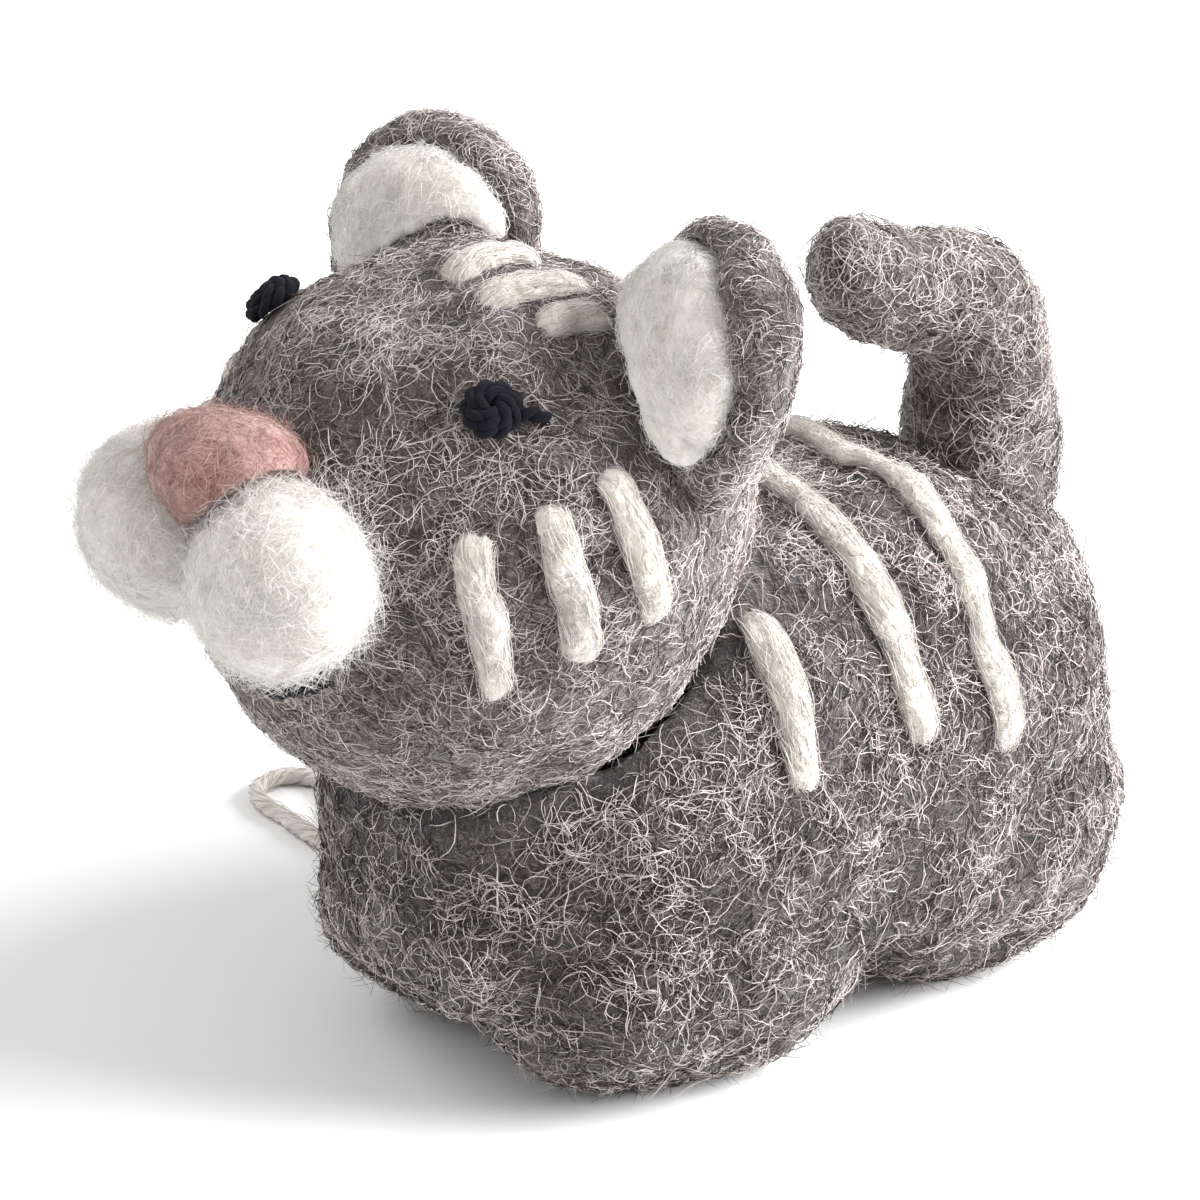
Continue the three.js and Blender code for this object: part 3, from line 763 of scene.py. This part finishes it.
def make_head():
    ball = felt_skin(
        "head_felt", ["head"], light_grey_ground, swell=0.0, rounds=8, lump=0.22 * MM, seed=5,
        squeeze=squeezed_at_neck,
    )
    finish_piece(ball, "head", "grey_wool", "head")
    surface = Surface(ball)
    hair = fibres(
        "head_fibres", surface, grey_fibres, light_grey_shares, per_mm2=8.5, length=2.6 * MM,
        radius=0.028 * MM, rise=0.22 * MM, loose=0.12, loose_rise=1.0 * MM, bend=700, seed=21,
    )
    finish_piece(hair, "head", "grey_wool")
    return surface


def make_tail():
    tail = felt_skin(
        "tail_felt", ["tail"], light_grey_ground, swell=0.25 * MM, rounds=14, lump=0.3 * MM, seed=8,
    )
    finish_piece(tail, "tail", "grey_wool", "tail")
    hair = fibres(
        "tail_fibres", Surface(tail), grey_fibres, light_grey_shares, per_mm2=8, length=2.9 * MM,
        radius=0.031 * MM, rise=0.32 * MM, loose=0.18, loose_rise=1.3 * MM, bend=700, seed=31,
    )
    finish_piece(hair, "tail", "grey_wool")


def make_ear(hand, seed):
    body = hand + "_ear"
    leaf = felt_skin(
        body + "_felt", [body], light_grey_ground, swell=0.05 * MM, rounds=6, lump=0.2 * MM, seed=seed,
    )
    finish_piece(leaf, body, "grey_wool", body)
    hair = fibres(
        body + "_fibres", Surface(leaf), grey_fibres, light_grey_shares, per_mm2=8.5, length=2.6 * MM,
        radius=0.028 * MM, rise=0.22 * MM, loose=0.14, loose_rise=1.0 * MM, bend=700, seed=seed + 50,
    )
    finish_piece(hair, body, "grey_wool")
    inner = hand + "_inner_ear"
    pad = felt_skin(
        inner + "_felt", [inner], white_ground, swell=0.0, rounds=5, lump=0.14 * MM, seed=seed + 2,
        voxel=FINE_VOXEL,
    )
    finish_piece(pad, body, "white_wool", inner)
    fluff = fibres(
        inner + "_fibres", Surface(pad), white_fibres, bright_and_soft, per_mm2=15, length=2.6 * MM,
        radius=0.019 * MM, rise=0.28 * MM, loose=0.4, loose_rise=0.9 * MM, bend=450, seed=seed + 60,
        patchy=0.0, keep=lambda places: outside_head(places, EAR_PAD_CLEARANCE),
    )
    finish_piece(fluff, body, "white_wool")


def wisps_round(node, surface, materials, seed, per_mm2=14, reach=1.3):
    """Stray fibres of a piece that is felted on the head, spread over the wool that it sits on.

    reach is how far out they go, in half widths of the piece."""
    middle = centre_of(node)
    half = np.array(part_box(node)[1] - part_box(node)[0]) / 2
    return fibres(
        node + "_wisps", surface, materials, bright_and_soft, per_mm2=per_mm2, length=2.2 * MM,
        radius=0.02 * MM, rise=0.45 * MM, loose=0.4, loose_rise=0.9 * MM, bend=400, seed=seed,
        patchy=0.0, keep=lambda places: np.linalg.norm((places - middle) / half, axis=1) < reach,
    )


def make_puff(hand, seed):
    node = hand + "_muzzle_puff"
    puff = felt_skin(
        node + "_felt", [node], white_ground, swell=-0.15 * MM, rounds=9, lump=0.24 * MM, grain=0.0,
        seed=seed, voxel=FINE_VOXEL,
    )
    finish_piece(puff, "head", "white_wool", node)
    fluff = fibres(
        node + "_fibres", Surface(puff), white_fibres, bright_and_soft, per_mm2=17, length=2.8 * MM,
        radius=0.019 * MM, rise=0.32 * MM, loose=0.55, loose_rise=1.5 * MM, bend=420, seed=seed + 70,
        patchy=0.0,
    )
    finish_piece(fluff, "head", "white_wool")
    finish_piece(wisps_round(node, head_surface, white_fibres, seed + 75), "head", "white_wool")
    return puff


def make_nose(*puffs):
    """The nose, with a few of its fibres spread over the puffs under it."""
    nose = felt_skin(
        "nose_felt", ["nose"], pink_ground, swell=0.15 * MM, rounds=5, lump=0.16 * MM, seed=17,
        voxel=FINE_VOXEL,
    )
    finish_piece(nose, "head", "pink_wool", "nose")
    fluff = fibres(
        "nose_fibres", Surface(nose), pink_fibres, [0.5, 0.5], per_mm2=12, length=2.4 * MM,
        radius=0.018 * MM, rise=0.2 * MM, loose=0.45, loose_rise=1.0 * MM, bend=320, seed=87,
    )
    finish_piece(fluff, "head", "pink_wool")
    wisps = wisps_round("nose", Surface(*puffs), faint_pink_fibres, 95, per_mm2=10, reach=1.16)
    finish_piece(wisps, "head", "pink_wool")


def make_neck():
    wad = felt_skin("neck_wad_felt", ["neck_wad"], grey_ground, swell=0.0, rounds=3, lump=0.05 * MM, seed=19)
    finish_piece(wad, "neck", "grey_wool", "neck_wad")


body_surface = make_body()
head_surface = make_head()
make_tail()
make_ear("left", 61)
make_ear("right", 71)
left_puff = make_puff("left", 81)
right_puff = make_puff("right", 91)
make_nose(left_puff, right_puff)
make_neck()


# ---------- stripes ----------

STRAND_CAD_SIDES = 8  # of each CAD stripe
BACK_STRIPE_THICKNESS = 2.3 * MM
HEAD_STRIPE_THICKNESS = 2.15 * MM
TUCKED_LENGTH = 2.2 * MM  # of the first back stripe, under the head


def make_back_stripes():
    axis = centre_of("body")
    for seed, name in enumerate(["1_left", "1_right", "2", "3"], start=100):
        node = "back_stripe_" + name
        line = ring_centres(
            node, STRAND_CAD_SIDES, lambda p: np.arctan2(p[:, 0] - axis[0], p[:, 2] - axis[2]),
        )
        tucked = name.startswith("1")
        if tucked and line[0, 2] < line[-1, 2]:
            line = line[::-1]
        strand, *soft = soft_strand(
            node + "_yarn", line, body_surface, BACK_STRIPE_THICKNESS, seed,
            longer=TUCKED_LENGTH if tucked else 0.0,
        )
        finish_piece(strand, "body", "cream_yarn", node)
        for hairs in soft:
            finish_piece(hairs, "body", "cream_yarn")


def make_head_stripes():
    names = [f"{hand}_cheek_stripe_{k}" for hand in ("left", "right") for k in (1, 2, 3)]
    names += [f"crown_stripe_{k}" for k in (1, 2, 3)]
    for seed, node in enumerate(names, start=120):
        on_crown = node.startswith("crown")
        line = ring_centres(node, STRAND_CAD_SIDES, lambda p: p[:, 1] if on_crown else -p[:, 2])
        strand, *soft = soft_strand(
            node + "_yarn", line, head_surface, HEAD_STRIPE_THICKNESS, seed,
            proud=0.05 * MM if on_crown else 0.2 * MM,
        )
        finish_piece(strand, "head", "cream_yarn", node)
        for hairs in soft:
            finish_piece(hairs, "head", "cream_yarn")


make_back_stripes()
make_head_stripes()


# ---------- stitches ----------

STITCH_STEP = 0.12 * MM
STITCH_CAD_SIDES = 6
STITCH_SIDES = 8
KNOT_TURNS = 1.6
EYE_TURNS = 3.1
MOUTH_DROP = 1.3 * MM  # below the CAD stitch, to show past the puffs' fluff
MOUTH_PROUD = 0.25 * MM


def make_knot():
    """The knot that holds the loop: a turn of the same yarn round both strands."""
    middle = centre_of("loop_knot")
    turns = np.linspace(0, 2 * math.pi * KNOT_TURNS, 60)
    wrap = np.stack([
        middle[0] - 0.4 * MM + 0.5 * MM * turns / turns[-1],
        middle[1] + 0.85 * MM * np.cos(turns),
        middle[2] + 0.1 * MM + 0.62 * MM * np.sin(turns),
    ], axis=1)
    line = resample(wrap, STITCH_STEP)
    _, ups = carried_frame(line, np.array((1.0, 0.0, 0.0)))
    knot = plied_yarn("loop_knot_yarn", line, ups, thickness=0.9 * MM, pitch=2.2 * MM, material=yarn_ground)
    finish_piece(knot, "body", "cream_yarn", "loop_knot")


def make_eye(hand, side):
    """An embroidered knot: a thread wound inwards and up in a low coil, with its end stitched down."""
    node = hand + "_eye"
    outward = unit(centre_of(node) - head_centre)
    ground, _ = head_surface.nearest((head_centre + outward * head_radius)[None])
    sideways = np.array((side * 0.64, 0.77, -0.1))
    sideways = unit(sideways - dot(sideways, outward) * outward)
    upward = np.cross(outward, sideways) * side
    turns = np.linspace(0, 2 * math.pi * EYE_TURNS, 150)
    share = turns / turns[-1]
    reach = (1.5 - 1.14 * share ** 1.5) * MM
    height = (0.35 + 0.75 * np.sin(share * math.pi * 0.62) ** 1.2) * MM
    coil = ground + (
        (reach * np.cos(turns))[:, None] * sideways
        + (reach * np.sin(turns))[:, None] * upward
        + height[:, None] * outward
    )
    tail = np.array([
        ground[0] + sideways * 3.3 * MM - outward * 1.2 * MM,
        ground[0] + sideways * 3.0 * MM + outward * 0.1 * MM,
        ground[0] + sideways * 2.3 * MM + outward * 0.45 * MM,
    ])
    line = smooth_line(np.concatenate([tail, coil[::5], (ground - outward * 0.6 * MM)]), STITCH_STEP)
    _, ups = carried_frame(line, outward)
    knot = plied_yarn(
        node + "_knot", line, ups, thickness=0.98 * MM, pitch=1.9 * MM, material=thread_ground,
        sides=STITCH_SIDES,
    )
    finish_piece(knot, "head", "navy_thread", node)


def make_mouth(hand, side):
    """One long stitch under a puff, laid on the head, with both ends pushed down into it."""
    node = hand + "_mouth_stitch"
    line = ring_centres(node, STITCH_CAD_SIDES, lambda p: p[:, 0] * side)
    line = smooth_line(line, 0.25 * MM)
    line[:, 2] -= MOUTH_DROP
    line, ups = head_surface.nearest(line)
    line = line + ups * MOUTH_PROUD
    start = line[0] - ups[0] * 0.9 * MM
    end = line[-1] + unit(line[-1] - line[-2]) * 0.4 * MM - ups[-1] * 1.2 * MM
    line = smooth_line(np.array([start, *line[1:-1:4], end]), STITCH_STEP)
    _, ups = carried_frame(line, ups[0])
    stitch = plied_yarn(
        node + "_thread", line, ups, thickness=0.8 * MM, pitch=1.8 * MM, material=thread_ground,
        sides=STITCH_SIDES,
    )
    finish_piece(stitch, "head", "navy_thread", node)


make_knot()
for hand, side in (("left", 1), ("right", -1)):
    make_eye(hand, side)
    make_mouth(hand, side)


# ---------- floor, light and background ----------

def make_floor():
    half = 3.0
    mesh = bpy.data.meshes.new("floor")
    mesh.from_pydata(
        [(-half, -half, 0), (half, -half, 0), (half, half, 0), (-half, half, 0)], [], [(0, 1, 2, 3)],
    )
    made, tree, shader = tree_of("floor_paper")
    colour = ramp_node(
        tree, noise_node(tree, 40 * MM, detail=2), [(0.3, (0.91, 0.91, 0.91)), (0.7, (0.93, 0.93, 0.93))],
    )
    tree.links.new(colour, shader.inputs["Base Color"])
    shader.inputs["Roughness"].default_value = 0.85
    shader.inputs["Specular IOR Level"].default_value = 0.2
    mesh.materials.append(made)
    new_object("floor", mesh)


LIGHT_AIM = Vector((0, 0, 0.02))


def area_light(name, place, size, power):
    data = bpy.data.lights.new(name, "AREA")
    data.shape = "DISK"
    data.size = size
    data.energy = power
    light = bpy.data.objects.new(name, data)
    bpy.context.scene.collection.objects.link(light)
    light.location = place
    light.rotation_mode = "QUATERNION"
    light.rotation_quaternion = (LIGHT_AIM - Vector(place)).to_track_quat("-Z", "Y")


def make_light():
    world = bpy.data.worlds.new("studio")
    world.use_nodes = True
    world.node_tree.nodes["Background"].inputs["Color"].default_value = (1, 1, 1, 1)
    world.node_tree.nodes["Background"].inputs["Strength"].default_value = 0.6
    bpy.context.scene.world = world
    area_light("key", (0.53, 0.6, 0.4), size=0.7, power=22)
    area_light("fill", (-0.5, -0.45, 0.65), size=0.7, power=3.4)


make_floor()
make_light()
bpy.context.scene.view_settings.view_transform = "Standard"
bpy.context.scene.view_settings.look = "None"
